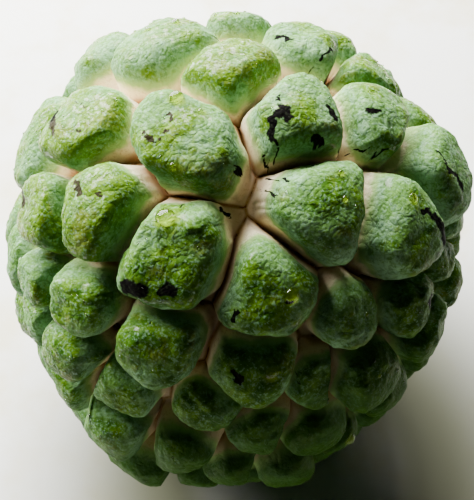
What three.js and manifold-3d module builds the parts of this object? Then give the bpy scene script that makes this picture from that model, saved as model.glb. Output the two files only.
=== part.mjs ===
// Custard apple (sugar apple, Annona squamosa): one whole green fruit, as picked.
//
// The fruit is one solid. It grew from many small flowers' parts side by side, and each of them swelled
// into a knob, with a pale seam where it meets its neighbours. The knobs follow a spiral that turns by
// nearly the golden angle from one to the next, from the stalk down to the tip.
//
// How the surface is worked out:
//   1. The spiral gives each knob a direction from the middle of the fruit, and a footprint.
//   2. The convex hull of those directions, each lifted a little by its footprint, tells which knobs
//      are neighbours. Each face of the hull faces a junction where three seams meet.
//   3. Each knob's patch is a fan of wedges, from the middle of the knob to the two ends of a seam.
//   4. A point's height over the seams grows with its distance from them, and the knob leans to the tip.
//
// Frame: millimetres, +Z up, table at z = 0. The fruit lies on its side, as a round fruit does, with its
// stalk end raised at the back (+Y) and its tip low at the front (-Y). It rests on its lowest knobs,
// which its weight has pressed flat. The origin is on the table, under the middle of the fruit's
// bounding box.

import * as THREE from 'three';
import { ConvexHull } from 'three/addons/math/ConvexHull.js';
import { mergeVertices } from 'three/addons/utils/BufferGeometryUtils.js';
import Module from 'manifold-3d';

// ---- Driving dimensions ----

const SEAM_RADIUS = 35.8; // middle of the fruit to the bottom of a seam
const KNOB_RISE = 1.2; // height of a knob, as a share of its footprint's radius
const KNOB_LEAN = 0.15; // how far a knob droops towards the tip, as a share of its height
const CROWN_FALL = 0.2; // how much lower than a flat top a crown is at the edge of its footprint

const GOLDEN_TURN = 137.15; // degrees round the stalk from one knob to the next
const FIRST_TURN = 95.3; // degrees round the stalk to the first knob
const KNOB_AREA = 0.1013; // a knob's share of the fruit at its middle height, in steradians
const AREA_TAPER = 0.29; // knobs are larger than that at the stalk and smaller at the tip, by this share
const FOOTPRINT = 1.07; // radius of a footprint, as a share of a circle of the knob's area

const STALK_KNOB = 0; // the patch that holds the stalk's scar
const ABORTED = [14, 38]; // knobs of the spiral that never grew, so the others closed over them

// Knobs that swelled more or less than the rest, by how much their footprints grew.
const GROWTH = [
  { growth: 1.45, knobs: [41, 43, 51, 54] },
  { growth: 1.3, knobs: [30, 35, 46, 64] },
  { growth: 1.2, knobs: [22, 25, 33, 56, 59, 72, 75, 77, 83, 96, 98, 111, 122] },
  { growth: 0.8, knobs: [88, 93, 101] },
];
// Knobs that were pushed off the spiral as the fruit filled out: [knob, degrees down, degrees round].
const PUSHED = [
  [1, 2, -5], [4, -8, -1], [8, 0, -4], [9, -1, -5], [10, -1, -4], [12, -3, 3], [17, 1, 3],
  [20, -4, -2], [22, 7, -2], [25, 3, -2], [27, -3, 3], [30, 2, 5], [33, -4, 5], [35, 6, 9],
  [43, -1, 5], [48, 1, 2], [54, -2, 1], [56, -2, 3], [59, 3, 2], [61, 1, 3], [64, -5, -3],
  [67, 5, 5], [69, -6, 13], [72, -2, -6], [75, -3, 5], [77, -7, 5], [80, 2, -3], [82, -5, -6],
  [83, -3, -3], [85, -2, -3], [88, 3, -2], [90, -5, 10], [96, -5, -4], [98, -3, 2], [101, 5, -3],
  [103, -2, 3], [111, 1, 4], [114, 5, -4], [122, -2, 9],
];

// The fruit without its knobs, as shares of SEAM_RADIUS.
const GIRTH = 0.97; // at its middle height
const LENGTHENING = 0.045; // more towards the stalk and the tip
const LOPSIDED = 0.062; // more on its fuller side, less on the other
const SHOULDERS = 0.029; // fuller shoulders on that side
const SIDE = 0.039; // more on the side that faces down as it lies
const OVAL = 0.024; // its section across the stalk's axis is an oval
const SKEW = 0.019; // the oval is turned by this much
const HIP = 0.022; // fuller at one side of the tip

const BASIN_DEPTH = 5; // hollow round the stalk
const BASIN_WIDTH = 0.06; // its spread, as 1 - cos(angle from the stalk)
const STUB_HEIGHT = 3; // what is left of the stalk, a corky scar
const STUB_EDGE = [0.35, 0.5]; // where its side is, as shares of the way from the seam to its middle

const TIP_DOWN = 59.5; // degrees that the stalk's axis is tilted back from upright
const TURNED = 8.3; // degrees that the fruit is turned on the table
const MIDDLE = new THREE.Vector3(1.3, 0.95, 40.4); // middle of the fruit over the table

// The shape of a knob: a dome over the seams, on a rounded polygon.
const DOME_POWER = 3.8;
const DOME_ROUNDING = 1.1;
const CORNER_SHARPNESS = 3; // of the polygon's corners
const CORNER_REACH = 0.96; // how far the knob fills its corners, as a share of their mean distance
const ROWS = [0, 0.55, 0.82, 1]; // rings of vertices, from the middle of a knob to its seams

const SKIN = { color: 0x7d9a4c, roughness: 0.55, metalness: 0 };

const radians = THREE.MathUtils.degToRad;

// ---- The knobs ----

// Direction at a polar angle from the stalk (+Z) and a turn round it, both in degrees.
function direction(down, round) {
  const reach = Math.sin(radians(down));
  const turn = radians(round);
  return new THREE.Vector3(reach * Math.cos(turn), reach * Math.sin(turn), Math.cos(radians(down)));
}

// How far down the knob at a place on the spiral is, as the cosine of its angle from the stalk. Each
// knob adds its own area to the cap above it, and the area varies with that cosine.
function spiralHeight(place) {
  const shrink = Math.exp(-AREA_TAPER * KNOB_AREA * place / (2 * Math.PI));
  return ((1 + AREA_TAPER) * shrink - 1) / AREA_TAPER;
}

function growKnobs() {
  const knobs = [];
  for (let number = 0; spiralHeight(number) > -1; number += 1) {
    if (ABORTED.includes(number)) continue;
    const [, pushDown, pushRound] = PUSHED.find((push) => push[0] === number) ?? [number, 0, 0];
    const down = THREE.MathUtils.radToDeg(Math.acos(Math.min(spiralHeight(number), 1))) + pushDown;
    const centre = direction(down, FIRST_TURN + GOLDEN_TURN * number + pushRound);
    const area = KNOB_AREA * (1 + AREA_TAPER * centre.z);
    const { growth } = GROWTH.find((group) => group.knobs.includes(number)) ?? { growth: 1 };
    const footprint = growth * FOOTPRINT * Math.sqrt(area / Math.PI); // radius as an angle, in radians
    const lifted = centre.clone().divideScalar(Math.cos(footprint));
    knobs.push({ number, centre, footprint, lifted, seams: [], corners: [] });
  }
  return knobs;
}

// The wedges of every knob, from the hull of the lifted knobs. Also notes each knob's seams, as the
// normals of their planes through the middle of the fruit, and its corners.
function findWedges(knobs) {
  const knobAt = new Map(knobs.map((knob) => [knob.lifted, knob]));
  const hull = new ConvexHull().setFromPoints(knobs.map((knob) => knob.lifted));
  const wedges = [];
  for (const face of hull.faces) {
    let edge = face.edge;
    do {
      const knob = knobAt.get(edge.tail().point);
      const neighbour = knobAt.get(edge.head().point);
      const ends = [edge.twin.face.normal, face.normal];
      knob.seams.push(knob.lifted.clone().sub(neighbour.lifted).normalize());
      knob.corners.push(face.normal);
      wedges.push({ knob, ends });
      edge = edge.next;
    } while (edge !== face.edge);
  }
  for (const knob of knobs) {
    const reaches = knob.corners.map((corner) => knob.centre.angleTo(corner));
    knob.reach = CORNER_REACH * reaches.reduce((sum, angle) => sum + angle) / reaches.length;
    knob.depth = seamDistance(knob, knob.centre);
  }
  return wedges;
}

// ---- The surface ----

// Distance from a direction to the knob's seams, as the sine of an angle. It blends the distances to
// all the seams and to a circle that rounds the corners, so it has no creases inside a knob.
function seamDistance(knob, at) {
  const toCircle = Math.sin(knob.reach - at.angleTo(knob.centre));
  const distances = [toCircle, ...knob.seams.map((seam) => at.dot(seam))];
  const sum = distances.reduce((total, d) => total + Math.max(d, 1e-5) ** -CORNER_SHARPNESS, 0);
  return sum ** (-1 / CORNER_SHARPNESS);
}

// Height of a knob over the seams, 0 at a seam and 1 at the top of a full dome.
function dome(knob, at) {
  const inward = Math.min(seamDistance(knob, at) / knob.depth, 1);
  const profile = (1 - (1 - inward) ** DOME_POWER) ** DOME_ROUNDING;
  const outward = at.angleTo(knob.centre) / knob.footprint;
  return profile * (1 - CROWN_FALL * outward ** 2);
}

function knobHeight(knob, at) {
  if (knob.number === STALK_KNOB) {
    const inward = seamDistance(knob, at) / knob.depth;
    return STUB_HEIGHT * THREE.MathUtils.smoothstep(inward, ...STUB_EDGE);
  }
  return KNOB_RISE * knob.footprint * SEAM_RADIUS * dome(knob, at);
}

function seamRadius({ x, y, z }) {
  const body = GIRTH + LENGTHENING * z ** 2 - LOPSIDED * x - SIDE * y;
  const section = SKEW * x * y - OVAL * (x ** 2 - y ** 2);
  const shoulders = SHOULDERS * x * (x ** 2 - 3 * z ** 2) + HIP * x * z;
  const basin = BASIN_DEPTH * Math.exp(-(1 - z) / BASIN_WIDTH);
  return SEAM_RADIUS * (body + section + shoulders) - basin;
}

// The point of the skin in a direction, on a seam or on a knob.
function skinPoint(knob, at, onSeam) {
  const height = onSeam ? 0 : knobHeight(knob, at);
  const toTip = new THREE.Vector3(0, 0, -1).projectOnPlane(at);
  return at.clone().multiplyScalar(seamRadius(at) + height).addScaledVector(toTip, KNOB_LEAN * height);
}

// One wedge as triangles: row r has r + 1 points, and they widen from the knob's middle to the seam.
function addWedge(positions, { knob, ends }) {
  const last = ROWS.length - 1;
  const rows = ROWS.map((share, row) => Array.from({ length: row + 1 }, (_, column) => {
    const outer = new THREE.Vector3().lerpVectors(ends[0], ends[1], row ? column / row : 0);
    const at = knob.centre.clone().lerp(outer, share).normalize();
    return skinPoint(knob, at, row === last);
  }));
  for (let row = 0; row < last; row += 1) {
    for (let column = 0; column <= row; column += 1) {
      const below = rows[row + 1];
      positions.push(rows[row][column], below[column], below[column + 1]);
      if (column < row) positions.push(rows[row][column], below[column + 1], rows[row][column + 1]);
    }
  }
}

function growFruit() {
  const positions = [];
  for (const wedge of findWedges(growKnobs())) addWedge(positions, wedge);
  const geometry = mergeVertices(new THREE.BufferGeometry().setFromPoints(positions));
  return geometry
    .rotateX(-radians(TIP_DOWN))
    .rotateZ(radians(TURNED))
    .translate(...MIDDLE);
}

// ---- The flats that the fruit rests on ----

const wasm = await Module();
wasm.setup();

function toSolid(geometry) {
  const bare = geometry.clone();
  bare.deleteAttribute('normal');
  bare.deleteAttribute('uv');
  const merged = mergeVertices(bare);
  return new wasm.Manifold(new wasm.Mesh({
    numProp: 3,
    vertProperties: new Float32Array(merged.attributes.position.array),
    triVerts: new Uint32Array(merged.index.array),
  }));
}

function toGeometry(solid) {
  const { vertProperties, triVerts } = solid.getMesh();
  const geometry = new THREE.BufferGeometry();
  geometry.setAttribute('position', new THREE.BufferAttribute(vertProperties, 3));
  geometry.setIndex(new THREE.BufferAttribute(triVerts, 1));
  return geometry;
}

// Cuts away what is below the table.
function restOnTable(geometry) {
  const size = 4 * SEAM_RADIUS;
  const table = new THREE.BoxGeometry(size, size, size).translate(0, 0, -size / 2);
  return toGeometry(toSolid(geometry).subtract(toSolid(table)));
}

const fruit = new THREE.Mesh(restOnTable(growFruit()), new THREE.MeshStandardMaterial(SKIN));
fruit.name = 'fruit';

const custardApple = new THREE.Group();
custardApple.add(fruit);

export default custardApple;
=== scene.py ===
# %% [markdown]
# # A custard apple, knob by knob
#
# The real thing is a sugar apple: a round green fruit made of many knobs that swelled side by side. The
# knobs follow a spiral from the stalk down to the tip, pale seams run between them, a waxy bloom lies
# over the green, and this one is wet. The lesson grows the fruit's surface with numpy in the same frame
# as the solid, then gives it a skin material, scars and drops of water.

# %% Load the frame
import itertools
import math

import bmesh
import bpy
import numpy as np
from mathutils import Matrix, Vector


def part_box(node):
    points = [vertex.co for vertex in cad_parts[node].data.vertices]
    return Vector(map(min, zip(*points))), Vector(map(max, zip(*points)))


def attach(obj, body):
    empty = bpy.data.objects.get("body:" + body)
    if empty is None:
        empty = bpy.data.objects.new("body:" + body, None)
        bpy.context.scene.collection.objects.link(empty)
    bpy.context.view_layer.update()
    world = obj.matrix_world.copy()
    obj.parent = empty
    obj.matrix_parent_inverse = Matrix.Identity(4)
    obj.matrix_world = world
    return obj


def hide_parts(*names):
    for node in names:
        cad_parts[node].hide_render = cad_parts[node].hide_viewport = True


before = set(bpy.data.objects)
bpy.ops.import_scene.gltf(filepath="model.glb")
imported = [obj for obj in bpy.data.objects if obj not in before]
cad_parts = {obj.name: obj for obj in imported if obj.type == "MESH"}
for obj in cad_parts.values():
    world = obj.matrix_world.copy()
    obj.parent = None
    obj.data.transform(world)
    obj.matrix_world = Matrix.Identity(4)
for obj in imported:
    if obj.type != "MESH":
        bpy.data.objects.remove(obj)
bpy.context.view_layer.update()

MM = 0.001  # the sums are in millimetres, and Blender's unit is the metre
low, high = (np.array(corner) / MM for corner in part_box("fruit"))
print("solid fruit, mm:", np.round(low, 1), np.round(high, 1))

# %% [markdown]
# ## How the knobs of this fruit grew
#
# No two knobs are alike. Some were pushed a few degrees off their spiral as the fruit filled out, some
# grew more or less than the rest, and two never grew at all. A formula can't know that, so lists name
# those knobs by their numbers on the spiral. The degrees of the pushes are not chosen by hand: they are
# what a separate fitting program gave, rounded by it. The fitted sizes were sorted into the four growths.
# The values are the same as in the solid's own source, so the two surfaces agree.

# %% Knobs out of the ordinary
ABORTED = [14, 38]  # numbers on the spiral where no knob grew
HUGE, LARGE, PLUMP, SMALL = 1.45, 1.3, 1.2, 0.8  # growth of a footprint
GROWTH = {
    HUGE: [41, 43, 51, 54],
    LARGE: [30, 35, 46, 64],
    PLUMP: [22, 25, 33, 56, 59, 72, 75, 77, 83, 96, 98, 111, 122],
    SMALL: [88, 93, 101],
}
PUSHED = np.array([
    [1, 2, -5], [4, -8, -1], [8, 0, -4], [9, -1, -5], [10, -1, -4], [12, -3, 3], [17, 1, 3],
    [20, -4, -2], [22, 7, -2], [25, 3, -2], [27, -3, 3], [30, 2, 5], [33, -4, 5], [35, 6, 9],
    [43, -1, 5], [48, 1, 2], [54, -2, 1], [56, -2, 3], [59, 3, 2], [61, 1, 3], [64, -5, -3],
    [67, 5, 5], [69, -6, 13], [72, -2, -6], [75, -3, 5], [77, -7, 5], [80, 2, -3], [82, -5, -6],
    [83, -3, -3], [85, -2, -3], [88, 3, -2], [90, -5, 10], [96, -5, -4], [98, -3, 2], [101, 5, -3],
    [103, -2, 3], [111, 1, 4], [114, 5, -4], [122, -2, 9],
])  # knob, degrees down, degrees round
print(len(PUSHED), "knobs were pushed,", sum(map(len, GROWTH.values())), "grew more or less than the rest")

# %% [markdown]
# ## Where the knobs sit
#
# Plants lay out their parts by turning nearly the golden angle (137.5 degrees) for each new one. Each
# knob takes its own share of the fruit's surface, larger at the stalk than at the tip. So the height of
# knob n on a unit ball follows from adding up the areas of all the knobs above it. Arrays hold one row
# for each knob, so a formula is written once and worked out for all of them.

# %% The spiral of knobs
SEAM_RADIUS = 35.8  # mm from the middle of the fruit to the bottom of a seam
GOLDEN_TURN = 137.15  # degrees from one knob to the next
FIRST_TURN = 95.3
KNOB_AREA = 0.1013  # steradians, at the fruit's middle height
AREA_TAPER = 0.29
FOOTPRINT = 1.07  # radius of a footprint, as a share of a circle of the knob's area
MOST_KNOBS = 200  # more than the fruit has room for


def spiral_height(place):
    """Cosine of the angle from the stalk: the area above is place x area, and area grows with height."""
    shrink = np.exp(-AREA_TAPER * KNOB_AREA * place / (2 * np.pi))
    return np.minimum(((1 + AREA_TAPER) * shrink - 1) / AREA_TAPER, 1)


def towards(down, turn):
    """Unit vectors at an angle down from +Z and a turn round it, in degrees."""
    down, turn = np.radians(down), np.radians(turn)
    return np.stack([np.sin(down) * np.cos(turn), np.sin(down) * np.sin(turn), np.cos(down)], axis=-1)


number = np.arange(MOST_KNOBS)
pushes = np.zeros((len(number), 2))
pushes[PUSHED[:, 0]] = PUSHED[:, 1:]
grown = (spiral_height(number) > -1) & ~np.isin(number, ABORTED)
number, pushes = number[grown], pushes[grown]
down = np.degrees(np.arccos(spiral_height(number)))
centre = towards(down + pushes[:, 0], FIRST_TURN + GOLDEN_TURN * number + pushes[:, 1])
growth = np.ones(len(number))
for size, knobs in GROWTH.items():
    growth[np.isin(number, knobs)] = size
footprint = growth * FOOTPRINT * np.sqrt(KNOB_AREA * (1 + AREA_TAPER * centre[:, 2]) / np.pi)
print(len(number), "knobs, footprint radius", np.round(footprint[[0, -1]] * SEAM_RADIUS, 1), "mm")

# %% [markdown]
# ## Which knobs touch
#
# Lift each knob's direction a little, by one over the cosine of its footprint. The convex hull of those
# points then joins just the knobs that are neighbours, and each of its triangles faces a junction where
# three seams meet. Blender's own hull operator finds it. After that, each edge of the hull gives two
# wedges, one for each of its knobs, from the knob's middle out to the two ends of their seam.

# %% The hull and its wedges
lifted = centre / np.cos(footprint)[:, None]
hull = bmesh.new()
corners = [hull.verts.new(point) for point in lifted]
bmesh.ops.convex_hull(hull, input=corners)
bmesh.ops.recalc_face_normals(hull, faces=hull.faces)
hull.verts.index_update()
triangles = np.array([[v.index for v in face.verts] for face in hull.faces])
junction = np.array([face.normal[:] for face in hull.faces])
hull.free()

tail, head = triangles.ravel(), np.roll(triangles, -1, axis=1).ravel()
face_of_edge = np.repeat(np.arange(len(triangles)), 3)
edge_key, twin_key = tail * len(number) + head, head * len(number) + tail
order = np.argsort(edge_key)
twin_face = face_of_edge[order][np.searchsorted(edge_key[order], twin_key)]
print(len(triangles), "junctions,", len(tail) // 2, "seams,", len(tail), "wedges")

# %% [markdown]
# ## How far a point is from the seams
#
# A seam lies in a plane through the middle of the fruit, so the distance to it is one dot product. The
# distances to all of a knob's seams, and to a circle that rounds its corners, are blended with a power
# mean: (sum of d^-p)^(-1/p). It is zero on each seam, and smooth everywhere else in the knob.

# %% Seam distances
CORNER_SHARPNESS = 3.0  # the power p
CORNER_REACH = 0.96  # radius of the rounding circle, as a share of the way to the corners
NEARLY_ZERO = 1e-5  # keeps the power mean from dividing by zero

seam_lists = [np.flatnonzero(tail == knob) for knob in range(len(number))]
seam_normal = np.full((len(number), max(map(len, seam_lists)), 3), np.nan)
reach = np.zeros(len(number))
for knob, edges in enumerate(seam_lists):
    across = lifted[knob] - lifted[head[edges]]
    seam_normal[knob, :len(edges)] = across / np.linalg.norm(across, axis=1, keepdims=True)
    to_corners = np.arccos(junction[face_of_edge[edges]] @ centre[knob])
    reach[knob] = CORNER_REACH * to_corners.mean()


def nearest_seam(knob, at):
    """Distance to the knob's nearest seam, as the sine of an angle."""
    return np.nanmin(np.einsum("nmk,nk->nm", seam_normal[knob], at), axis=1)


def seam_distance(knob, at):
    """Power mean of the distances to the knob's seams and to the circle through its corners."""
    distance = np.einsum("nmk,nk->nm", seam_normal[knob], at)
    circle = np.sin(reach[knob] - np.arccos(np.clip((at * centre[knob]).sum(1), -1, 1)))
    distance = np.maximum(np.column_stack([distance, circle]), NEARLY_ZERO)
    return np.nansum(distance ** -CORNER_SHARPNESS, axis=1) ** (-1 / CORNER_SHARPNESS)


depth = seam_distance(np.arange(len(number)), centre)
print("seam to middle of a knob, mm:", np.round(depth.min() * SEAM_RADIUS, 1),
      "to", np.round(depth.max() * SEAM_RADIUS, 1))

# %% [markdown]
# ## The body under the knobs
#
# The body is an egg with one fuller side and a hollow round the stalk. It is given as a radius for each
# direction: a few terms in x, y and z each swell or flatten one side, and they are simply added up. The
# fruit lies tipped over, so two turns bring its own upright frame to the table.

# %% Body formula
GIRTH, LENGTHENING, LOPSIDED, SHOULDERS = 0.97, 0.045, 0.062, 0.029
SIDE, OVAL, SKEW, HIP = 0.039, 0.024, 0.019, 0.022  # all shares of the radius
BASIN_DEPTH, BASIN_WIDTH = 5, 0.06  # mm, and how far from the stalk as 1 - cosine
TIP_DOWN, TURNED = 59.5, 8.3  # degrees
MIDDLE = np.array([1.3, 0.95, 40.4])  # mm, the fruit's middle over the table


def turned(vectors):
    """From the fruit's upright frame to the table: tilted back about X, then turned about Z."""
    tip, turn = math.radians(-TIP_DOWN), math.radians(TURNED)
    tilt = np.array([[1, 0, 0], [0, math.cos(tip), -math.sin(tip)], [0, math.sin(tip), math.cos(tip)]])
    spin = np.array([[math.cos(turn), -math.sin(turn), 0], [math.sin(turn), math.cos(turn), 0], [0, 0, 1]])
    return vectors @ (spin @ tilt).T


def body_radius(at):
    """Egg plus lopsided terms, less a bell-shaped hollow round the stalk."""
    x, y, z = at.T
    share = (GIRTH + LENGTHENING * z**2 - LOPSIDED * x + SHOULDERS * x * (x**2 - 3 * z**2)
             - SIDE * y - OVAL * (x**2 - y**2) + SKEW * x * y + HIP * x * z)
    return SEAM_RADIUS * share - BASIN_DEPTH * np.exp(-(1 - z) / BASIN_WIDTH)


print("body at the stalk, a side and the tip, mm:",
      np.round(body_radius(np.array([[0, 0, 1.0], [1.0, 0, 0], [0, 0, -1.0]])), 1))

# %% [markdown]
# ## The knobs on the body
#
# A knob is a dome over the body: 1 - (1 - inward)^4.4, which makes its crown broad, raised to 1.5, which
# leaves a narrow flat floor along the seam. The solid has the same domes with slightly less steep sides.
# Then every point slides towards the tip by a share of its height, as the knobs of the real fruit droop.
# A slide like that can't make the surface cross itself.

# %% Knob formula
KNOB_RISE, KNOB_LEAN, CROWN_FALL = 1.2, 0.15, 0.2  # shares of the footprint, the height and the dome
DOME_POWER, DOME_ROUNDING = 4.4, 1.5
STUB_HEIGHT, STUB_EDGE = 3, (0.35, 0.5)  # mm, and where its wall stands on knob 0


def smooth_step(value, start, end):
    """0 before start, 1 after end, and 3t^2 - 2t^3 between them. End may be below start."""
    t = np.clip((value - start) / (end - start), 0, 1)
    return t * t * (3 - 2 * t)


def knob_height(knob, at):
    """Height over the seam floor: the dome, less a fall towards the rim; a stub on knob 0."""
    inward = np.minimum(seam_distance(knob, at) / depth[knob], 1)
    outward = np.arccos(np.clip((at * centre[knob]).sum(1), -1, 1)) / footprint[knob]
    dome = (1 - (1 - inward) ** DOME_POWER) ** DOME_ROUNDING * (1 - CROWN_FALL * outward**2)
    stub = STUB_HEIGHT * smooth_step(inward, *STUB_EDGE)
    return np.where(knob == 0, stub, KNOB_RISE * footprint[knob] * SEAM_RADIUS * dome)


def skin(at, height):
    """Out along the direction, then towards the tip by a share of the height, then onto the table."""
    tip = np.array([0, 0, -1]) + at * at[:, 2:]
    upright = at * (body_radius(at) + height)[:, None] + tip * (KNOB_LEAN * height)[:, None]
    return turned(upright) + MIDDLE


crown_mm = knob_height(np.arange(len(number)), centre)[1:]
print("crowns over the seams, mm:", np.round(crown_mm.min(), 1), "to", np.round(crown_mm.max(), 1))

# %% [markdown]
# ## One grid for every wedge
#
# A wedge is a triangle with rows of points: row r has r + 1 of them. The rows lie closer together near
# the seam, where the surface is steepest. Every wedge uses the same grid, so all of them are worked out
# in one go as arrays. Points that two wedges share are then made one, so the skin is closed.

# %% Directions of all the points
ROW_COUNT = 16
ROW_CROWDING = 1.25

row = np.repeat(np.arange(ROW_COUNT + 1), np.arange(ROW_COUNT + 1) + 1)
column = np.concatenate([np.arange(count + 1) for count in range(ROW_COUNT + 1)])
outward = 1 - (1 - row / ROW_COUNT) ** ROW_CROWDING
along = column / np.maximum(row, 1)
inner = row < ROW_COUNT
first = np.flatnonzero(inner)
below = first + row[inner] + 1
grid_faces = np.column_stack([first, below, below + 1])
middle = np.flatnonzero(inner & (column < row))
below_middle = middle + row[middle] + 1
grid_faces = np.concatenate([grid_faces, np.column_stack([middle, below_middle + 1, middle + 1])])

seam_point = (junction[twin_face][:, None] * (1 - along)[None, :, None]
              + junction[face_of_edge][:, None] * along[None, :, None])
direction = centre[tail][:, None] * (1 - outward)[None, :, None] + seam_point * outward[None, :, None]
direction = (direction / np.linalg.norm(direction, axis=2, keepdims=True)).reshape(-1, 3)
owner = np.repeat(tail, len(row))
on_seam = np.tile(row == ROW_COUNT, len(tail))
faces = (grid_faces[None] + np.arange(len(tail))[:, None, None] * len(row)).reshape(-1, 3)

SAME_POINT = 1e6  # directions that agree to one part in this are one point
_, keep, same = np.unique(np.round(direction * SAME_POINT).astype(np.int64), axis=0,
                          return_index=True, return_inverse=True)
direction, owner, on_seam, faces = direction[keep], owner[keep], on_seam[keep], same.ravel()[faces]
print(len(direction), "points,", len(faces), "triangles")

# %% [markdown]
# ## Noise for lumps
#
# The knobs of the real fruit are a little lumpy. Gradient noise gives that: each corner of a grid gets a
# random slope, and the slopes are blended in between. It makes lumps, and the root of its size, without
# the sign, makes creases. The random slopes come from a hash of the corner's whole numbers, so they are
# the same in each run, and it all works on whole arrays of points.

# %% Gradient noise
FAR_OFF = 1000  # cells: moves every place to positive whole numbers
NOISE_GAIN = 1.4  # brings gradient noise to about -1 to 1
AXIS_FACTORS = np.array([374761393, 668265263, 1274126177], dtype=np.uint64)  # large odd numbers
MIXES = [(13, 1103515245), (16, 2654435761)]  # bits to shift by, and another large odd number
VALUE_STARTS, MOST_VALUE = (8, 20, 32), 1023  # where in the mixed bits each value starts, and its most


def corner_slopes(cell_corner):
    """Three random values for each whole-number grid corner: an integer hash, brought to -1 to 1."""
    mixed = (cell_corner.astype(np.uint64) * AXIS_FACTORS).sum(axis=1)
    for shift, factor in MIXES:
        mixed = (mixed ^ (mixed >> np.uint64(shift))) * np.uint64(factor)
    values = [(mixed >> np.uint64(start)) & np.uint64(MOST_VALUE) for start in VALUE_STARTS]
    return np.stack(values, axis=1).astype(float) / (MOST_VALUE / 2) - 1


def gradient_noise(points, cell):
    """About -1 to 1: blend of the eight corners' slopes times offsets, with weights 6t^5 - 15t^4 + 10t^3."""
    scaled = points / cell + FAR_OFF
    cell_corner = np.floor(scaled).astype(np.int64)
    inside = scaled - cell_corner
    weight = inside**3 * (inside * (inside * 6 - 15) + 10)
    total = np.zeros(len(points))
    for corner in itertools.product((0, 1), repeat=3):
        share = np.prod(np.where(corner, weight, 1 - weight), axis=1)
        total += share * (corner_slopes(cell_corner + corner) * (inside - corner)).sum(axis=1)
    return total * NOISE_GAIN


LUMP_CELL = 8.0  # mm
height = np.where(on_seam, 0, knob_height(owner, direction))
points = skin(direction, height)
lumps = gradient_noise(points, LUMP_CELL)
print("lumps before they are scaled:", np.round(lumps.min(), 2), "to", np.round(lumps.max(), 2))

# %% [markdown]
# ## Noise for pebbles
#
# Between its creases the real skin is pebbled like old leather. In pebble noise each box of a grid gets
# a seed, and the distances to the two nearest seeds make round pebbles with a crease between them. Near
# a seed the difference of the two is large, and halfway to the next seed it is nothing.

# %% Pebble noise
SEED_SPREAD = 0.45  # how far a pebble's seed is from the middle of its box


def pebble_noise(points, cell):
    """0 in the creases to 1 on the pebbles: distance to the second nearest seed less the nearest."""
    scaled = points / cell + FAR_OFF
    home = np.floor(scaled).astype(np.int64)
    nearest, second = np.full(len(points), np.inf), np.full(len(points), np.inf)
    for step in itertools.product((-1, 0, 1), repeat=3):
        seed = home + step + 0.5 + SEED_SPREAD * corner_slopes(home + step)
        distance = np.linalg.norm(scaled - seed, axis=1)
        second = np.minimum(second, np.maximum(nearest, distance))
        nearest = np.minimum(nearest, distance)
    return np.sqrt(np.clip(second - nearest, 0, 1))


print("pebble noise along 3 cells:",
      np.round(pebble_noise(np.linspace(0, 3, 7)[:, None] * [1, 0, 0], 1.0), 2).tolist())

# %% [markdown]
# ## Puckers and lumps
#
# Lumps of about 8 mm make each knob uneven. Creases come about 4 mm apart, pebbles at 2.4 mm and a
# grain at 1.6 mm. Their places are bent by more noise first, so that no grid shows. Relief finer than
# the mesh is left to the material. All of it fades out down the sides of a knob, because the cream
# flanks are smooth. It moves the points along their normals, and last the whole skin wobbles a little.

# %% Relief on the skin
LUMP_SIZE = 0.65  # mm
CREASE_CELL, CREASE_SIZE = 4.0, 0.34  # mm: how far apart, and how high
PEBBLE_CELL, PEBBLE_SIZE = 2.4, 0.4
GRAIN_CELL, GRAIN_SIZE = 1.6, 0.12
BEND_CELL, BEND, WOBBLE = 5.0, 1.2, 0.5  # mm: the size of a bend, and how far it moves places and points
BEND_SHIFTS, GRAIN_SHIFT = (0, 31, 62), 17  # mm, so that no two noises are alike
LUMPY_FROM, PUCKERED_FROM = (0.4, 3.5), (1.2, 4.5)  # mm over the seam where each fades in
HALF = 0.5  # taken from values of 0 to 1, so that they lower the skin as much as they raise it

warp = np.stack([gradient_noise(points + shift, BEND_CELL) for shift in BEND_SHIFTS], axis=1)
bent = points + BEND * warp
creases = np.sqrt(np.abs(gradient_noise(bent, CREASE_CELL))) - HALF
pebbles = pebble_noise(bent, PEBBLE_CELL) - HALF
grain = pebble_noise(bent + GRAIN_SHIFT, GRAIN_CELL) - HALF
pucker = CREASE_SIZE * creases + PEBBLE_SIZE * pebbles + GRAIN_SIZE * grain
print("pucker, mm:", np.round(np.percentile(pucker, [1, 50, 99]), 2))


def point_normals(points, faces):
    """Sum of the normals of the triangles round each point, made unit length."""
    a, b, c = points[faces[:, 0]], points[faces[:, 1]], points[faces[:, 2]]
    flat = np.cross(b - a, c - a)
    total = np.stack([sum(np.bincount(faces[:, k], flat[:, axis], len(points)) for k in range(3))
                      for axis in range(3)], axis=1)
    return total / np.linalg.norm(total, axis=1, keepdims=True)


outwards = point_normals(points, faces)
relief = (LUMP_SIZE * lumps * smooth_step(height, *LUMPY_FROM)
          + pucker * smooth_step(height, *PUCKERED_FROM)) * (owner != 0)
points = points + outwards * relief[:, None] + WOBBLE * warp
points[:, 2] = np.maximum(points[:, 2], 0)  # the lowest knobs are pressed flat on the table

# %% [markdown]
# ## The mesh
#
# The whole skin grew as one piece, so the arrays become one closed mesh. Its points are where they belong
# on the table and the object stays at the origin, unturned, as the solid does. Two helpers do the work
# that the drops of water need again: one makes an object from arrays, the other stores a number on each
# of its points for a material to read.

# %% Make the mesh
def new_mesh(name, points, faces):
    """A smooth-shaded object at the origin from arrays of points in mm and of faces."""
    mesh = bpy.data.meshes.new(name)
    mesh.from_pydata((points * MM).tolist(), [], faces.tolist())
    mesh.shade_smooth()
    piece = bpy.data.objects.new(name, mesh)
    bpy.context.collection.objects.link(piece)
    return piece


def add_attribute(piece, name, values):
    """One number per point, for the material to read."""
    attribute = piece.data.attributes.new(name, "FLOAT", "POINT")
    attribute.data.foreach_set("value", np.asarray(values, dtype=np.float32))


fruit = new_mesh("custard_apple", points, faces)
print("visual fruit, mm:", np.round(points.min(0), 1), np.round(points.max(0), 1))
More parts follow.
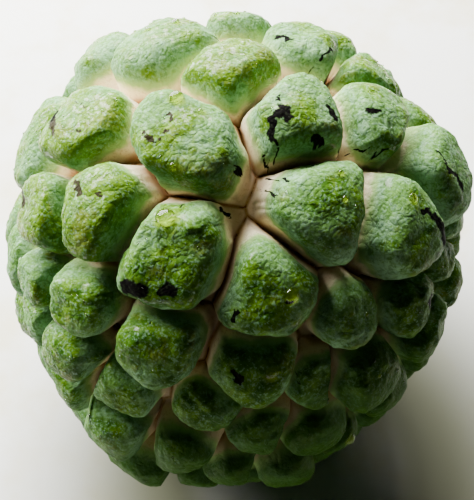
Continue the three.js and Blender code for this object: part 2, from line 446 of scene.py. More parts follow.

# %% [markdown]
# ## What the mesh tells its material
#
# A material can't work out which knob a point is on or how far the seam is, so those numbers are stored
# on the points as attributes: the distance to the seam, the share of the knob's height, the side towards
# the stalk, the relief, and a tone of each knob's own. How far a point lies on the side away from the window
# is stored too, and the material paints shade by it there and light on the window's side. The last
# attribute is the point's place on the plain ball of the seams, where a painted mark isn't broken up by the
# relief.

# %% Numbers on the points
AWAY_FROM_WINDOW = np.array([0.35, -0.75, -0.55])
AWAY_FROM_LIGHT_SPAN = (-1.1, 1.1)  # places along that direction, in seam radii
TONE_SEED = 7
KNOWN_TONES = {  # the others are drawn at random from 0 to 1
    -0.5: [41, 48, 67],  # knobs that kept most of their bloom
    0.1: [46],
    1.5: [17, 22, 35, 43],  # and knobs that lost most of it
}

rng = np.random.default_rng(TONE_SEED)
knob_tone = rng.random(len(number))
for known_tone, knobs in KNOWN_TONES.items():
    knob_tone[np.isin(number, knobs)] = known_tone
rise_share = height / (KNOB_RISE * footprint[owner] * SEAM_RADIUS)
stalkward = (direction[:, 2] - centre[owner, 2]) / footprint[owner]
shadow_side = (points - MIDDLE) @ AWAY_FROM_WINDOW / SEAM_RADIUS
add_attribute(fruit, "seam_mm", np.where(on_seam, 0, nearest_seam(owner, direction) * SEAM_RADIUS))
add_attribute(fruit, "rise", rise_share)
add_attribute(fruit, "stalkward", stalkward)
# 0 towards the window and 1 away from it: the material paints shade and light by this number.
add_attribute(fruit, "away_from_light", smooth_step(shadow_side, *AWAY_FROM_LIGHT_SPAN))
add_attribute(fruit, "pucker", pucker)
add_attribute(fruit, "knob_tone", knob_tone[owner])
add_attribute(fruit, "stub", (owner == 0).astype(float))
ball_mm = fruit.data.attributes.new("ball_mm", "FLOAT_VECTOR", "POINT")
ball_mm.data.foreach_set("vector", (direction * SEAM_RADIUS).astype(np.float32).ravel())
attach(fruit, "root")
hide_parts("fruit")
print("points on the side away from the window:", np.count_nonzero(shadow_side > 0), "of", len(points))

# %% [markdown]
# ## Finding a place on the skin
#
# A mark is easiest to give from the middle of its knob: so many millimetres round the stalk, and so many
# down towards the tip. A function turns that into a direction, and the closest point of the mesh to that
# direction gives the place on the skin and the way it faces.

# %% Places on knobs
skin_normals = point_normals(points, faces)


def on_knobs(knobs, round_mm, down_mm):
    """Index of the mesh point at each offset: the direction is middle + (round x east + down x south)."""
    middle = centre[np.searchsorted(number, knobs)]
    east = np.cross([0, 0, 1], middle)
    east /= np.linalg.norm(east, axis=1, keepdims=True)
    south = np.cross(east, middle)
    wanted = middle + (east * round_mm[:, None] + south * down_mm[:, None]) / SEAM_RADIUS
    return np.argmax(wanted @ direction.T, axis=1)


print("middle of knob 51 at, mm:", np.round(points[on_knobs([51], np.zeros(1), np.zeros(1))[0]], 1))

# %% [markdown]
# ## Drops of water
#
# A drop on wax stands up as a flattened ball, part of it under the skin. One ball of points is made
# once, and whole arrays move, turn and scale it to every place, so hundreds of drops cost no loop.

# %% A flattened ball at every place
DROP_HEIGHT, DROP_SUNK = 0.8, 0.05  # as shares of the radius


def ball_points(turns, rings):
    """A unit ball: rings of points at even angles between two poles, and its triangles."""
    polar = np.linspace(0, np.pi, rings + 1)[1:-1]
    round_angle = np.linspace(0, 2 * np.pi, turns, endpoint=False)
    sine = np.sin(polar)[:, None]
    ring = np.stack([sine * np.cos(round_angle), sine * np.sin(round_angle),
                     np.cos(polar)[:, None] + 0 * round_angle], axis=2).reshape(-1, 3)
    top, bottom = len(ring), len(ring) + 1
    this = np.arange(turns)
    after = (this + 1) % turns
    starts = np.arange(rings - 2)[:, None] * turns
    low_row, high_row = starts + turns, starts
    sides = np.concatenate([
        np.stack([high_row + this, low_row + this, low_row + after], axis=2).reshape(-1, 3),
        np.stack([high_row + this, low_row + after, high_row + after], axis=2).reshape(-1, 3)])
    last = (rings - 2) * turns
    caps = np.concatenate([np.stack([np.full(turns, top), this, after], axis=1),
                           np.stack([last + this, np.full(turns, bottom), last + after], axis=1)])
    return np.vstack([ring, [[0, 0, 1], [0, 0, -1]]]), np.concatenate([sides, caps])


def drops_at(index, radius, turns, rings):
    """Flattened balls on the skin at mesh points: along two tangents by the radius, out by the height."""
    ball, ball_faces = ball_points(turns, rings)
    normal = skin_normals[index]
    across = np.cross(normal, [0, 0, 1])
    across /= np.linalg.norm(across, axis=1, keepdims=True)
    along = np.cross(normal, across)
    scaled = ball[None] * np.stack([radius, radius, DROP_HEIGHT * radius], axis=1)[:, None]
    placed = (points[index] - DROP_SUNK * radius[:, None] * normal)[:, None] + np.einsum(
        "nkj,nji->nki", scaled, np.stack([across, along, normal], axis=1))
    all_faces = ball_faces[None] + np.arange(len(index))[:, None, None] * len(ball)
    return placed.reshape(-1, 3), all_faces.reshape(-1, 3)


DROP_GRID, SPRAY_GRID = (28, 16), (8, 5)  # points round, and rings
print("triangles in a drop:", len(ball_points(*DROP_GRID)[1]), "and in the spray:",
      len(ball_points(*SPRAY_GRID)[1]))

# %% [markdown]
# ## Big drops and fine spray
#
# The drops that catch the eye are rows of a list, most of them worked out by a separate program and
# rounded by hand to half a millimetre. The fine spray is seeded at random over the crowns, and
# its drops have few faces because there are many. The skin also stores where it is under a drop and how
# the drop gathers light there, because a drop darkens the side that the light enters and brightens the
# far side.

# %% Drops of water
LISTED_DROPS = np.array([
    [51, 2, -4, 1.5], [30, 0.5, -5, 1.15], [30, 3.5, -3.5, 0.5], [30, 0, 3, 0.6], [9, 2.5, -1, 0.9],
    [9, -1, 1, 0.55], [4, -3.5, 3, 0.5], [4, -1, 4, 0.6], [46, 1, -3.5, 0.6], [46, 0.5, -0.5, 0.55],
    [54, -1.5, -3.5, 0.9], [59, 2.5, 0, 1.2], [59, 2.5, 3.5, 0.6], [80, 2, -1, 0.9], [117, 0.5, -3.3, 1.0],
    [64, 4.5, -2, 0.75], [67, -2, -1.5, 0.4], [67, 0.5, -1, 0.4], [96, -1, -2, 0.4], [85, 1, -4, 0.4],
])  # knob, mm round, mm down, radius in mm
WET_EDGE, GLOW_FROM = (1.2, 0.95), (-0.5, 0.8)  # radii from a drop's middle, and along the light
SPRAY_COUNT = 340
SPRAY_RADIUS = (0.12, 0.30)  # mm
SPRAY_ABOVE, SPRAY_UPWARD = 0.8, 0.1  # the share of a knob's height, and the normal's part upwards


def wetness(index, radius):
    """Two numbers per point: 1 under a drop, and the drop's light, from 0 on the window's side to 1."""
    offset = points[:, None] - points[index][None]
    away = np.linalg.norm(offset, axis=2) / radius
    nearest = away.argmin(axis=1)
    every = np.arange(len(points))
    along_light = offset[every, nearest] @ AWAY_FROM_WINDOW / radius[nearest]
    return smooth_step(away[every, nearest], *WET_EDGE), smooth_step(along_light, *GLOW_FROM)


drop_radius = LISTED_DROPS[:, 3]
drop_index = on_knobs(LISTED_DROPS[:, 0].astype(int), LISTED_DROPS[:, 1], LISTED_DROPS[:, 2])
drops = new_mesh("water_drops", *drops_at(drop_index, drop_radius, *DROP_GRID))
under_drops, drop_light = wetness(drop_index, drop_radius)
add_attribute(fruit, "wet", under_drops)
add_attribute(fruit, "glow", drop_light)
on_top = np.flatnonzero((rise_share > SPRAY_ABOVE) & (skin_normals[:, 2] > SPRAY_UPWARD))
spray_index = rng.choice(on_top, SPRAY_COUNT, replace=False)
spray_radius = rng.uniform(*SPRAY_RADIUS, SPRAY_COUNT)
spray = new_mesh("water_spray", *drops_at(spray_index, spray_radius, *SPRAY_GRID))
for piece in (drops, spray):
    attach(piece, "root")
print(len(drops.data.polygons), "and", len(spray.data.polygons), "faces of water")

# %% [markdown]
# ## Building materials with short calls
#
# A material is a graph of nodes. A few helpers keep it readable. The first adds a node and fills its
# inputs, and the next ones read a number from the mesh and do sums.

# %% Node helpers
def add_node(tree, kind, inputs=None, **settings):
    """A node with its settings, and each input set to a value or linked to a socket."""
    node = tree.nodes.new(kind)
    for name, value in settings.items():
        setattr(node, name, value)
    for name, value in (inputs or {}).items():
        if isinstance(value, bpy.types.NodeSocket):
            tree.links.new(value, node.inputs[name])
        else:
            node.inputs[name].default_value = value
    return node


def attribute(tree, name):
    """One number per point of the mesh."""
    return add_node(tree, "ShaderNodeAttribute", attribute_name=name).outputs["Fac"]


def calculate(tree, operation, first, second=0.0):
    """One sum on two numbers."""
    return add_node(tree, "ShaderNodeMath", {0: first, 1: second}, operation=operation).outputs[0]


def add_shares(tree, start, *shares):
    """A value plus some others, each times its own share. A plain number is 1.0 times itself."""
    for value, share in shares:
        start = add_node(tree, "ShaderNodeMath", {0: value, 1: share, 2: start},
                         operation="MULTIPLY_ADD").outputs[0]
    return start


print("numbers to read on the skin:", [a.name for a in fruit.data.attributes if a.domain == "POINT"])

# %% [markdown]
# ## Masks, colours and noise
#
# Paint goes on in layers: a mask with soft edges says where, and a colour is mixed in by it. Most masks
# start from noise or from a height, so these helpers turn a value into a mask, mix two colours by a mask,
# or do both at once, and one more gives noise with its size in millimetres.

# %% Masks, colours and noise
def soft_mask(tree, value, start, end, strength=1.0):
    """0 up to start and the strength from end, with a smooth step between. End may be below start."""
    return add_node(tree, "ShaderNodeMapRange", {
        "Value": value, "From Min": start, "From Max": end, "To Max": strength},
        interpolation_type="SMOOTHSTEP").outputs["Result"]


def blend_colour(tree, mask, first, second):
    """The first colour where the mask is 0, the second where it is 1."""
    node = add_node(tree, "ShaderNodeMix", {0: mask, 6: first, 7: second}, data_type="RGBA")
    return node.outputs[2]


def lay_over(tree, under, over, value, start, end, strength=1.0):
    """A colour over another one: none of it where the value is at start, its strength from end on."""
    return blend_colour(tree, soft_mask(tree, value, start, end, strength), under, over)


def noise_value(tree, vector, feature, detail=2.0, roughness=0.5, distortion=0.0):
    """Noise of about 0.2 to 0.8, with features of a size in mm when the vector is in mm."""
    return add_node(tree, "ShaderNodeTexNoise", {
        "Vector": vector, "Scale": 1 / feature, "Detail": detail, "Roughness": roughness,
        "Distortion": distortion}).outputs["Fac"]


def object_mm(tree):
    """Object coordinates in millimetres."""
    place = add_node(tree, "ShaderNodeTexCoord").outputs["Object"]
    return add_node(tree, "ShaderNodeVectorMath", {0: place, "Scale": 1 / MM}, operation="SCALE").outputs[0]


def new_material(name):
    """An empty node material with its Principled shader."""
    material = bpy.data.materials.new(name)
    material.use_nodes = True
    return material, material.node_tree, material.node_tree.nodes["Principled BSDF"]


print("materials so far:", len(bpy.data.materials))

# %% [markdown]
# ## Scars as a node group
#
# Rubs and old cuts have healed to black-brown cork. Each is a short stroke: a point is inside it where
# its distance from a line between two ends is less than a radius. That sum is used again for every scar,
# so it is a node group, built once, and it puts out only a mask.

# %% The scar group
def new_group(name, inputs, output):
    """A node group with typed inputs and one number out. Gives back the tree and its two end nodes."""
    group = bpy.data.node_groups.new(name, "ShaderNodeTree")
    for socket, kind in inputs.items():
        group.interface.new_socket(socket, in_out="INPUT", socket_type=kind)
    group.interface.new_socket(output, in_out="OUTPUT", socket_type="NodeSocketFloat")
    return group, group.nodes.new("NodeGroupInput"), group.nodes.new("NodeGroupOutput")


def vector_sum(tree, operation, first, second):
    """One sum on two vectors: the vector output, or the number for a dot product or a length."""
    node = add_node(tree, "ShaderNodeVectorMath", {0: first, 1: second}, operation=operation)
    return node.outputs["Value" if operation in ("DOT_PRODUCT", "DISTANCE") else "Vector"]


def warped(tree, place, feature, amount):
    """A place moved about by noise, by up to about a quarter of the amount."""
    noise = add_node(tree, "ShaderNodeTexNoise", {"Vector": place, "Scale": 1 / feature}).outputs["Color"]
    centred = vector_sum(tree, "SUBTRACT", noise, (0.5, 0.5, 0.5))
    return add_node(tree, "ShaderNodeVectorMath", {0: centred, 1: (amount, amount, amount), 2: place},
                    operation="MULTIPLY_ADD").outputs["Vector"]


STROKE_EDGE = (1.15, 0.75)  # radii from the line, from the outside in
NO_ZERO = 0.001  # keeps a stroke of no length from dividing by zero

scar_line, group_in, group_out = new_group("scar_line", {
    "Place": "NodeSocketVector", "Start": "NodeSocketVector", "End": "NodeSocketVector",
    "Radius": "NodeSocketFloat"}, "Mask")
to_place = vector_sum(scar_line, "SUBTRACT", group_in.outputs["Place"], group_in.outputs["Start"])
to_end = vector_sum(scar_line, "SUBTRACT", group_in.outputs["End"], group_in.outputs["Start"])
along_line = vector_sum(scar_line, "DOT_PRODUCT", to_place, to_end)
length_squared = calculate(scar_line, "ADD", vector_sum(scar_line, "DOT_PRODUCT", to_end, to_end), NO_ZERO)
share = calculate(scar_line, "DIVIDE", along_line, length_squared)
share = add_node(scar_line, "ShaderNodeClamp", {"Value": share}).outputs[0]
closest = add_node(scar_line, "ShaderNodeVectorMath", {0: to_end, "Scale": share},
                   operation="SCALE").outputs["Vector"]
away = calculate(scar_line, "DIVIDE", vector_sum(scar_line, "DISTANCE", to_place, closest),
                 group_in.outputs["Radius"])
scar_line.links.new(soft_mask(scar_line, away, *STROKE_EDGE), group_out.inputs["Mask"])
print("scar group:", len(scar_line.nodes), "nodes")

# %% [markdown]
# ## Where the marks are
#
# The black scars are deep and old. The bruises are shallow rubs that are only brown. Each row gives a
# stroke from one end to the other, in millimetres from the middle of its knob, and longer marks are a
# few strokes end to end. A separate program worked out most of these places, and a third are as it
# gave them.

# %% Rows of marks
SCARS = [
    (25, (-2.6, -1.6), (-2.8, -0.7), 0.25), (25, (-3, 0.5), (-2.5, 1.7), 0.75),
    (25, (-4.2, 1.2), (-3, 1), 0.5), (25, (-4.2, 1.2), (-4.7, 3.4), 0.6),
    (25, (-4.7, 3.4), (-4.4, 5.9), 0.25), (25, (-6.2, 4.8), (-5, 6.4), 0.2),
    (25, (2.8, 0.6), (3.1, 1.8), 0.6), (25, (0, 4.2), (1.3, 4.5), 0.5),
    (25, (5.7, 4.3), (6.2, 4.6), 0.2), (46, (-7.5, -5), (-6.4, -4.3), 0.22),
    (46, (-6.4, -4.3), (-5.2, -3.4), 0.22), (46, (-8.3, -3.3), (-7.6, -2.3), 0.28),
    (51, (-3.4, 3.6), (-1.9, 3.4), 1.1), (51, (1.0, 3.8), (2.0, 4.0), 0.9),
    (51, (7.5, -4), (8.5, -3.5), 0.4), (51, (3.5, -4.9), (3.6, -4.8), 0.2),
    (30, (7.3, 3.4), (7.6, 4.2), 0.35), (33, (-4.5, -1), (-4, -0.5), 0.5),
    (33, (-6.8, 3), (-6, 3.9), 0.18), (33, (-4.6, 4.8), (-2.9, 5), 0.18),
    (41, (-3.4, -2.2), (-3.2, 0), 0.3), (41, (-3.2, 0), (-0.9, 1.2), 0.45),
    (41, (-0.9, 1.2), (0, 2.6), 0.55), (54, (-0.5, -2), (1.2, -1.4), 0.4),
    (54, (1.5, -1), (3.2, 0.6), 0.9), (54, (3.2, 0.6), (4, 2), 1.1),
    (12, (-6.5, -1.5), (-6, 1), 0.4), (12, (-4.5, 5.5), (-2.4, 4.8), 0.25),
    (12, (-2.4, 4.8), (-0.8, 4.1), 0.3), (12, (1, 4), (2, 4.5), 0.35),
    (22, (-4.4, -4.8), (-3.6, -3.4), 0.75), (80, (-2.2, -1.7), (-1.8, -0.8), 0.65),
    (75, (0.5, -0.5), (2, -1), 0.9), (59, (-4, 1.5), (-4, 2), 0.35),
    (59, (1.5, 0.5), (2, 0.5), 0.35), (88, (-3.8, -1.4), (-3.6, -1.2), 0.25),
]  # knob, (mm round, mm down) of both ends, radius
BRUISES = [
    (22, (-3.3, -2.4), (-2.5, -0.7), 0.7), (22, (1.8, -0.6), (2.2, -0.2), 0.3),
    (22, (-0.5, -4.7), (1.8, -3.3), 0.2), (43, (-0.9, -3.3), (-0.3, -2), 0.5),
    (43, (2, -1.6), (2.5, -1.7), 0.25), (30, (-0.2, -3), (0.2, -2), 0.35),
    (30, (-2.8, -0.7), (-1.9, 0), 0.4), (30, (-1.4, 0.1), (0, -0.6), 0.2),
    (35, (-3.7, -3.3), (-3.5, -1.5), 0.5),
]
print(len(SCARS), "strokes of scar and", len(BRUISES), "of bruise")

# %% [markdown]
# ## What the skin's material reads
#
# One shader does the whole skin, because on the real fruit it is one skin. It reads the numbers stored
# on the mesh, and noises of several sizes on Object coordinates in millimetres, so a patch of 5 mm is
# 5 mm on the fruit. Noise in a material is finer than the mesh and costs no faces, which is why it
# carries the mottle and the pores.

# %% Attributes and noises of the skin
PATCH_CELL, FINE_CELL, PINHEAD_CELL, SPECK_CELL = 5.2, 0.9, 0.6, 0.35  # mm

skin_material, tree, shader = new_material("wet_bloomy_skin")
fruit.data.materials.append(skin_material)
place = object_mm(tree)
seam_mm, rise, stalkward_side, away_from_light, relief_mm, tone, wet, glow, stub = (attribute(tree, name) for name in (
    "seam_mm", "rise", "stalkward", "away_from_light", "pucker", "knob_tone", "wet", "glow", "stub"))
patch = noise_value(tree, place, PATCH_CELL, detail=3)
fine = noise_value(tree, place, FINE_CELL, detail=3, roughness=0.6)
pinhead = noise_value(tree, place, PINHEAD_CELL, roughness=0.6)
speck = noise_value(tree, place, SPECK_CELL)
print("skin nodes before any colour:", len(tree.nodes))

# %% [markdown]
# ## From the crack to pale green
#
# From the bottom of a seam upwards the real skin goes through a thin brown crack, orange-brown, peach,
# cream and pale green. The distance to the seam picks the first three, and the share of the knob's
# height the others. Noise is added first, so that no edge is even, and the pale zones are wider on the
# stalk's side. Short darker fibres run in the cream. Away from the window the pale zones are narrower and
# the cream is browner, as painted shade. Each is a colour laid over the last: where it starts, where it is
# full, and how strong it then is.

# %% Seams and flanks
CRACK_BROWN = (0.12, 0.045, 0.012, 1)
ORANGE_BROWN = (0.36, 0.20, 0.08, 1)
PEACH = (0.73, 0.58, 0.39, 1)
CREAM = (0.82, 0.73, 0.48, 1)
CREAM_SHADE = (0.52, 0.36, 0.17, 1)
CREAM_PAINTED_SHADE = (0.26, 0.18, 0.07, 1)
PALE_GREEN = (0.27, 0.42, 0.14, 1)
CRACK_CELL = 1.6  # mm
CRACK_EDGE, PEACH_EDGE = (0.24, 0.36), (0.1, 0.5)  # mm from the seam
CREAM_EDGE, PALE_EDGE, CROWN_EDGE = (0.10, 0.30), (0.30, 0.46), (0.42, 0.64)  # shares of the height
FIBRES, PAINTED_SHADE_ON_CREAM = (0.92, 1.12, 0.45), (0.62, 0.95, 0.6)

# The pale zones are narrower on the side away from the window: painted shade.
zone = add_shares(tree, rise, (patch, 0.40), (stalkward_side, -0.13), (away_from_light, 0.10), (1.0, -0.26))
crack = add_shares(tree, seam_mm, (noise_value(tree, place, CRACK_CELL), 0.5), (patch, 0.7), (1.0, -0.33))
colour = lay_over(tree, CRACK_BROWN, ORANGE_BROWN, crack, *CRACK_EDGE)
colour = lay_over(tree, colour, PEACH, seam_mm, *PEACH_EDGE)
colour = lay_over(tree, colour, CREAM, zone, *CREAM_EDGE)
colour = lay_over(tree, colour, CREAM_SHADE, add_shares(tree, speck, (fine, 0.8)), *FIBRES)
# The cream is browner on the side away from the window: painted shade.
colour = lay_over(tree, colour, CREAM_PAINTED_SHADE, away_from_light, *PAINTED_SHADE_ON_CREAM)
colour = lay_over(tree, colour, PALE_GREEN, zone, *PALE_EDGE)
print("skin nodes with the flanks:", len(tree.nodes))

# %% [markdown]
# ## Greens of the crown
#
# Where the wax is off, the crown shows its own greens: deep and yellow green in spots of about 2 mm,
# and tan where the skin is starting to weather. The window's side is painted olive, as painted light, and
# away from the window fewer yellow spots leave it deeper green, as painted shade.

# %% Greens
DEEP_GREEN = (0.024, 0.080, 0.003, 1)
YELLOW_GREEN = (0.093, 0.20, 0.006, 1)
OLIVE = (0.122, 0.215, 0.004, 1)
TAN = (0.17, 0.175, 0.03, 1)
SPOT_CELL, TAN_CELL = 2.4, 5.5  # mm
YELLOW_SPOTS, OLIVE_PAINTED_LIGHT, TAN_PATCHES = (0.24, 0.62), (0.42, 0.0, 0.6), (0.54, 0.66, 0.45)

# Fewer yellow spots away from the window, so the green is deeper there: painted shade.
spots = add_shares(tree, noise_value(tree, place, SPOT_CELL), (away_from_light, -0.10))
green = lay_over(tree, DEEP_GREEN, YELLOW_GREEN, spots, *YELLOW_SPOTS)
# Olive on the window's side: painted light.
green = lay_over(tree, green, OLIVE, away_from_light, *OLIVE_PAINTED_LIGHT)
green = lay_over(tree, green, TAN, noise_value(tree, place, TAN_CELL, detail=3), *TAN_PATCHES)
print("skin nodes with the greens:", len(tree.nodes))

# %% [markdown]
# ## Bloom
#
# Bloom is a veil of wax. It is blue-green in clouds, mostly near the rim of a knob and on the side
# towards the tip, and it is less blue on the window's side, as painted light. It is off in patches, more on
# the crown, on the raised pebbles and on knobs that were rubbed, and more away from the window, where the
# deep green it lays bare is painted shade. Pores show through it as dark pinheads, and frosty specks lie
# over it all.

# %% Bloom
BLOOM = (0.110, 0.235, 0.055, 1)
BLUE_BLOOM = (0.20, 0.36, 0.185, 1)
FROST_BLUE = (0.21, 0.38, 0.245, 1)
CLOUD_CELL = 2.6  # mm
MIST_EDGE, MIST_SIDE, BARE_EDGE = (0.43, 0.66), (-0.4, 0.2), (0.98, 1.19)
PORES, FROST = (0.47, 0.37, 0.42), (0.92, 1.10, 0.50)

cloud = noise_value(tree, place, CLOUD_CELL, detail=4, roughness=0.65)
mist = add_shares(tree, cloud, (fine, 0.5), (stalkward_side, -0.15), (rise, -0.25))
# Less blue bloom on the window's side: painted light.
blue = calculate(tree, "MULTIPLY", soft_mask(tree, mist, *MIST_EDGE), soft_mask(tree, away_from_light, *MIST_SIDE))
# More bare deep green on the side away from the window: painted shade.
bare = add_shares(tree, patch, (fine, 0.32), (tone, 0.12), (relief_mm, 0.18), (rise, 0.40),
                  (stalkward_side, -0.06), (away_from_light, 0.10))
bare_mask = soft_mask(tree, bare, *BARE_EDGE)
crown = blend_colour(tree, bare_mask, blend_colour(tree, blue, BLOOM, BLUE_BLOOM), green)
crown = lay_over(tree, crown, DEEP_GREEN, pinhead, *PORES)
frost = soft_mask(tree, add_shares(tree, pinhead, (speck, 0.8)), *FROST)
crown = blend_colour(tree, frost, crown, FROST_BLUE)
print("skin nodes with the bloom:", len(tree.nodes))

# %% [markdown]
# ## Creases and water on the crown
#
# Between the pebbles the skin folds into meandering creases. Noise near its middle value gives a line
# that wanders, so its distance from that value is a crease. The creases are darker, partly dirt and partly
# painted shade, and away from the window the crown is painted deep green as shade. Under a drop the skin
# is bare wet green, painted dark where the light goes in and painted bright on the far side, where a drop
# gathers the light like a lens.

# %% Creases, painted shade and drops
WET_SHADE = (0.055, 0.12, 0.002, 1)
WET_GREEN_LENS_LIGHT = (0.26, 0.42, 0.008, 1)
BEND_SIZE, BEND_AMOUNT = 3.0, 1.5  # mm
BIG_CREASES, SMALL_CREASES = 2.0, 0.9  # mm apart
CREASE_POWER = 0.7  # under 1, it makes the creases narrow and the humps broad
CREASE_SHADE, PAINTED_SHADE_SIDE = (0.20, 0.0, 0.35), (0.78, 0.97, 0.8)

bent_place = warped(tree, place, BEND_SIZE, BEND_AMOUNT)


def creased(cell):
    """0 in the creases to about 0.6 on the humps: twice the noise's distance from 0.5, to a power."""
    smooth_noise = noise_value(tree, bent_place, cell, detail=0)
    slope = calculate(tree, "ABSOLUTE", add_shares(tree, smooth_noise, (1.0, -0.5)))
    return calculate(tree, "POWER", calculate(tree, "MULTIPLY", slope, 2.0), CREASE_POWER)


big_creases, small_creases = creased(BIG_CREASES), creased(SMALL_CREASES)
# Deep green in the big creases: partly dirt, partly painted shade.
crown = lay_over(tree, crown, DEEP_GREEN, big_creases, *CREASE_SHADE)
# Deep green on the side away from the window: painted shade.
crown = lay_over(tree, crown, DEEP_GREEN, away_from_light, *PAINTED_SHADE_SIDE)
# Under a drop: wet bare green, painted dark where the light goes in and painted bright on the far side, as a
# lens gathers light.
crown = blend_colour(tree, wet, crown, blend_colour(tree, glow, WET_SHADE, WET_GREEN_LENS_LIGHT))
colour = lay_over(tree, colour, crown, zone, *CROWN_EDGE)
print("skin nodes with the crown:", len(tree.nodes))

# %% [markdown]
# ## Painting the marks
#
# Each row of the lists becomes one copy of the scar group, and the strongest mask wins. The group gets
# the place on the ball of the seams, with noise added to it, so the strokes are ragged but whole. Bruises
# are brown. Scars are near black, with a dust of wax where the frost lies.

# %% Scars and bruises
SCAR_BLACK = (0.0015, 0.001, 0.0008, 1)
SCAR_DUST = (0.016, 0.022, 0.010, 1)
BRUISE_BROWN = (0.016, 0.013, 0.002, 1)
RAGGED_CELL, RAGGED_AMOUNT = 0.8, 1.5  # mm
MARK_WIDTH = 0.9  # the ball of the seams is a little smaller than the fruit at its crowns

ball_place = add_node(tree, "ShaderNodeAttribute", attribute_name="ball_mm").outputs["Vector"]
ragged_place = warped(tree, ball_place, RAGGED_CELL, RAGGED_AMOUNT)


def any_line(rows):
    """The greatest of the scar group's masks over all rows."""
    mask = 0.0
    for knob, start, end, radius in rows:
        round_mm, down_mm = np.array([start, end]).T
        ends = SEAM_RADIUS * direction[on_knobs([knob, knob], round_mm, down_mm)]
        line = add_node(tree, "ShaderNodeGroup", {
            "Place": ragged_place, "Start": ends[0], "End": ends[1], "Radius": MARK_WIDTH * radius},
            node_tree=scar_line)
        mask = calculate(tree, "MAXIMUM", line.outputs["Mask"], mask)
    return mask


scar_mask, bruise_mask = any_line(SCARS), any_line(BRUISES)
colour = blend_colour(tree, bruise_mask, colour, BRUISE_BROWN)
colour = blend_colour(tree, scar_mask, colour, blend_colour(tree, frost, SCAR_BLACK, SCAR_DUST))
print("skin nodes with the marks:", len(tree.nodes))

# %% [markdown]
# ## Cork on the stalk's scar
#
# A picked fruit has a corky stub where the stalk broke off: fibres of two browns, darker in their pits.
# Distorted noise gives the fibres, and an attribute says where the stub is.

# %% Cork
CORK_BROWN = (0.11, 0.065, 0.028, 1)
CORK_DARK = (0.022, 0.013, 0.006, 1)
CORK_CELL = 1.1  # mm
CORK_EDGE = (0.40, 0.62)

cork_noise = noise_value(tree, place, CORK_CELL, detail=4, roughness=0.7, distortion=1.5)
colour = blend_colour(tree, stub, colour, lay_over(tree, CORK_DARK, CORK_BROWN, cork_noise, *CORK_EDGE))
tree.links.new(colour, shader.inputs["Base Color"])
print("skin nodes with the cork:", len(tree.nodes))

# %% [markdown]
# ## Gloss
#
# Bloom is matt, and bare green is a little smoother. Fine water on bare green glints like varnish, so
# there the shader gets a clear coat in small spots, but not on marks, nor on the side away from the
# window. A little light passes under the skin and comes out green. Numbers that are the same all over sit
# on the shader's own sockets.

# %% Roughness, coat and light under the skin
GLINTS, NO_MARK, HIGH_UP, COAT = (0.50, 0.62), (0.5, 0.0), (0.75, 0.40), 0.55
SKIN_ROUGHNESS, BARE_SMOOTHER, SCAR_ROUGHER = 0.62, -0.16, 0.3

roughness = add_shares(tree, SKIN_ROUGHNESS, (bare_mask, BARE_SMOOTHER), (scar_mask, SCAR_ROUGHER))
coat = calculate(tree, "MULTIPLY", bare_mask, soft_mask(tree, fine, *GLINTS))
marks = calculate(tree, "MAXIMUM", scar_mask, bruise_mask)
coat = calculate(tree, "MULTIPLY", coat, soft_mask(tree, marks, *NO_MARK))
coat = calculate(tree, "MULTIPLY", coat, soft_mask(tree, away_from_light, *HIGH_UP, COAT))
tree.links.new(roughness, shader.inputs["Roughness"])
tree.links.new(coat, shader.inputs["Coat Weight"])
shader.inputs["Coat Roughness"].default_value = 0.07
shader.inputs["Specular IOR Level"].default_value = 0.04
shader.inputs["Subsurface Weight"].default_value = 0.08
shader.inputs["Subsurface Radius"].default_value = (0.6, 1.0, 0.3)
shader.inputs["Subsurface Scale"].default_value = 1.5 * MM
print("skin nodes with the gloss:", len(tree.nodes))

# %% [markdown]
# ## Relief finer than the mesh
#
# The same creases and noises raise the skin by a fraction of a millimetre, through a Bump node: creases,
# smaller creases, pinheads and specks. The relief fades out down the flanks and is softer on the side
# away from the window. The cork gets a rough relief of its own.

# %% Fine relief
FINE_RELIEF = [(big_creases, 0.20), (small_creases, 0.13), (pinhead, 0.10), (speck, 0.07)]  # mm
RELIEF_FROM, FLATTER_AWAY_FROM_LIGHT, CORK_RELIEF = (0.2, 0.6), -0.35, 1.2

crown_mask = soft_mask(tree, rise, *RELIEF_FROM)
crown_mask = calculate(tree, "MULTIPLY", crown_mask, add_shares(tree, 1.0, (away_from_light, FLATTER_AWAY_FROM_LIGHT)))
fine_relief = calculate(tree, "MULTIPLY", add_shares(tree, 0.0, *FINE_RELIEF), crown_mask)
fine_relief = add_shares(tree, fine_relief, (calculate(tree, "MULTIPLY", stub, cork_noise), CORK_RELIEF))
bump = add_node(tree, "ShaderNodeBump", {"Height": fine_relief, "Strength": 1.0, "Distance": 1.0 * MM})
tree.links.new(bump.outputs["Normal"], shader.inputs["Normal"])
print("skin nodes in all:", len(tree.nodes))

# %% [markdown]
# ## Water
#
# Clear water bends light by its index of 1.33. The shader needs no colour pattern: what shows is the
# skin under the drop and the window above it.

# %% Water
WATER_TINT = (0.97, 1.0, 0.95, 1)

water, tree, shader = new_material("clear_water")
shader.inputs["Transmission Weight"].default_value = 1.0
shader.inputs["IOR"].default_value = 1.33
shader.inputs["Roughness"].default_value = 0.02
shader.inputs["Base Color"].default_value = WATER_TINT
for piece in (drops, spray):
    piece.data.materials.append(water)
print("water on", drops.name, "and", spray.name)

# %% [markdown]
# ## Floor
#
# The fruit lies on a pale table with faint stains. One flat face is enough. The real table falls into a
# wide soft shade in front of the fruit, wider than one lamp gives without darkening the fruit as well, so
# the paint has a ring of half-shade round the middle of the shadow. The floor is stage, and no part of
# the fruit.

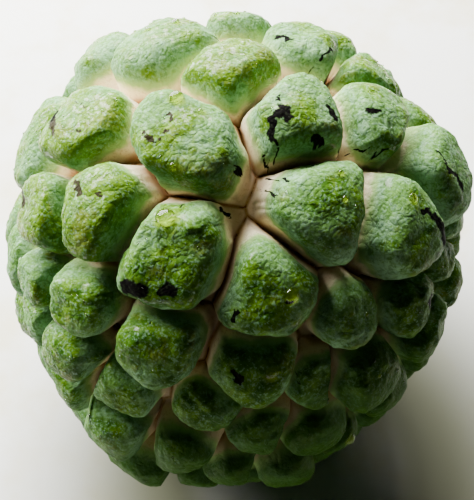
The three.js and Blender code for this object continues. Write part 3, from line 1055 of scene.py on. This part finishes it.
# %% Floor
FLOOR_GREY = (0.74, 0.74, 0.71, 1)
FLOOR_STAIN = (0.67, 0.63, 0.48, 1)
FLOOR_SHADE = (0.118, 0.122, 0.07, 1)
FLOOR_REACH = 1.5  # metres to each side
STAIN_CELL, STAIN_EDGE = 22, (0.43, 0.68)  # mm, and the noise value where a stain starts and is full
SHADE_MIDDLE = (13.5, -30, 0)  # mm, on the table in front of the fruit
SHADE_OUTSIDE, SHADE_INSIDE = (74, 30), (8, 26)  # mm from there

x, y = FLOOR_REACH * np.array([[-1, 1, 1, -1], [-1, -1, 1, 1]])
floor_mesh = bpy.data.meshes.new("floor")
floor_mesh.from_pydata(np.column_stack([x, y, 0 * x]).tolist(), [], [(0, 1, 2, 3)])
floor = bpy.data.objects.new("floor", floor_mesh)
bpy.context.collection.objects.link(floor)

floor_paint, tree, shader = new_material("pale_floor")
floor_mesh.materials.append(floor_paint)
place = object_mm(tree)
stains = noise_value(tree, place, STAIN_CELL, detail=4, roughness=0.6)
from_shade = vector_sum(tree, "DISTANCE", place, SHADE_MIDDLE)
half_shade = calculate(tree, "MULTIPLY", soft_mask(tree, from_shade, *SHADE_OUTSIDE),
                       soft_mask(tree, from_shade, *SHADE_INSIDE))
floor_colour = lay_over(tree, FLOOR_GREY, FLOOR_STAIN, stains, *STAIN_EDGE)
floor_colour = blend_colour(tree, half_shade, floor_colour, FLOOR_SHADE)
tree.links.new(floor_colour, shader.inputs["Base Color"])
shader.inputs["Roughness"].default_value = 0.6
print("floor of", 2 * FLOOR_REACH, "metres")

# %% [markdown]
# ## Light
#
# One window lights the fruit from behind and to the left. An area light of a window's size gives the same
# soft shadows, and it faces the fruit's shoulder. The world is nearly black, so that the seams stay deep.

# %% Window and world
SHOULDER = (MIDDLE + [-20, 15, 0]) * MM  # left of the fruit's middle and behind it
WINDOW_PLACE = (-0.145, 0.265, 0.225)  # metres
WINDOW_WIDTH, WINDOW_HEIGHT = 0.50, 0.34
WINDOW_WATTS, WINDOW_SPREAD = 15.5, 170  # the spread is in degrees
WINDOW_WHITE, WORLD_BLUE, WORLD_STRENGTH = (1.0, 1.0, 0.97), (0.90, 0.97, 1.0, 1), 0.01

window_data = bpy.data.lights.new("window", "AREA")
window_data.shape = "RECTANGLE"
window_data.size, window_data.size_y = WINDOW_WIDTH, WINDOW_HEIGHT
window_data.energy = WINDOW_WATTS
window_data.color = WINDOW_WHITE
window_data.spread = math.radians(WINDOW_SPREAD)
window = bpy.data.objects.new("window", window_data)
bpy.context.collection.objects.link(window)
window.location = WINDOW_PLACE
window.rotation_euler = (Vector(SHOULDER) - window.location).to_track_quat("-Z", "Y").to_euler()

world = bpy.data.worlds.new("soft_studio")
world.use_nodes = True
world.node_tree.nodes["Background"].inputs["Color"].default_value = WORLD_BLUE
world.node_tree.nodes["Background"].inputs["Strength"].default_value = WORLD_STRENGTH
bpy.context.scene.world = world
print("window at", WINDOW_PLACE, "metres,", WINDOW_WATTS, "watts")

# %% [markdown]
# ## Camera
#
# The camera looks down at 60 degrees from close by, as someone does who leans over a table. Its aim is a
# millimetre or so off the fruit's middle.

# %% Camera
CAMERA_RISE = 60.0  # degrees over the table
CAMERA_DISTANCE = 185.0  # mm from the middle of the fruit
LENS, NEAREST = 70.1, 0.01  # mm, and metres
AIM_SIDE, AIM_UP = -1.1, -0.6  # mm off the middle of the fruit

tilt = math.radians(CAMERA_RISE)
back = np.array([0, -math.cos(tilt), math.sin(tilt)])
up = np.array([0, math.sin(tilt), math.cos(tilt)])
aim = MIDDLE + AIM_SIDE * np.array([1, 0, 0]) + AIM_UP * up
camera_data = bpy.data.cameras.new("camera")
camera_data.lens = LENS
camera_data.clip_start = NEAREST
camera = bpy.data.objects.new("camera", camera_data)
bpy.context.collection.objects.link(camera)
camera.location = Vector((aim + back * CAMERA_DISTANCE) * MM)
camera.rotation_euler = (math.radians(90 - CAMERA_RISE), 0, 0)
bpy.context.scene.camera = camera
print("camera at, mm:", np.round(aim + back * CAMERA_DISTANCE, 1).tolist())
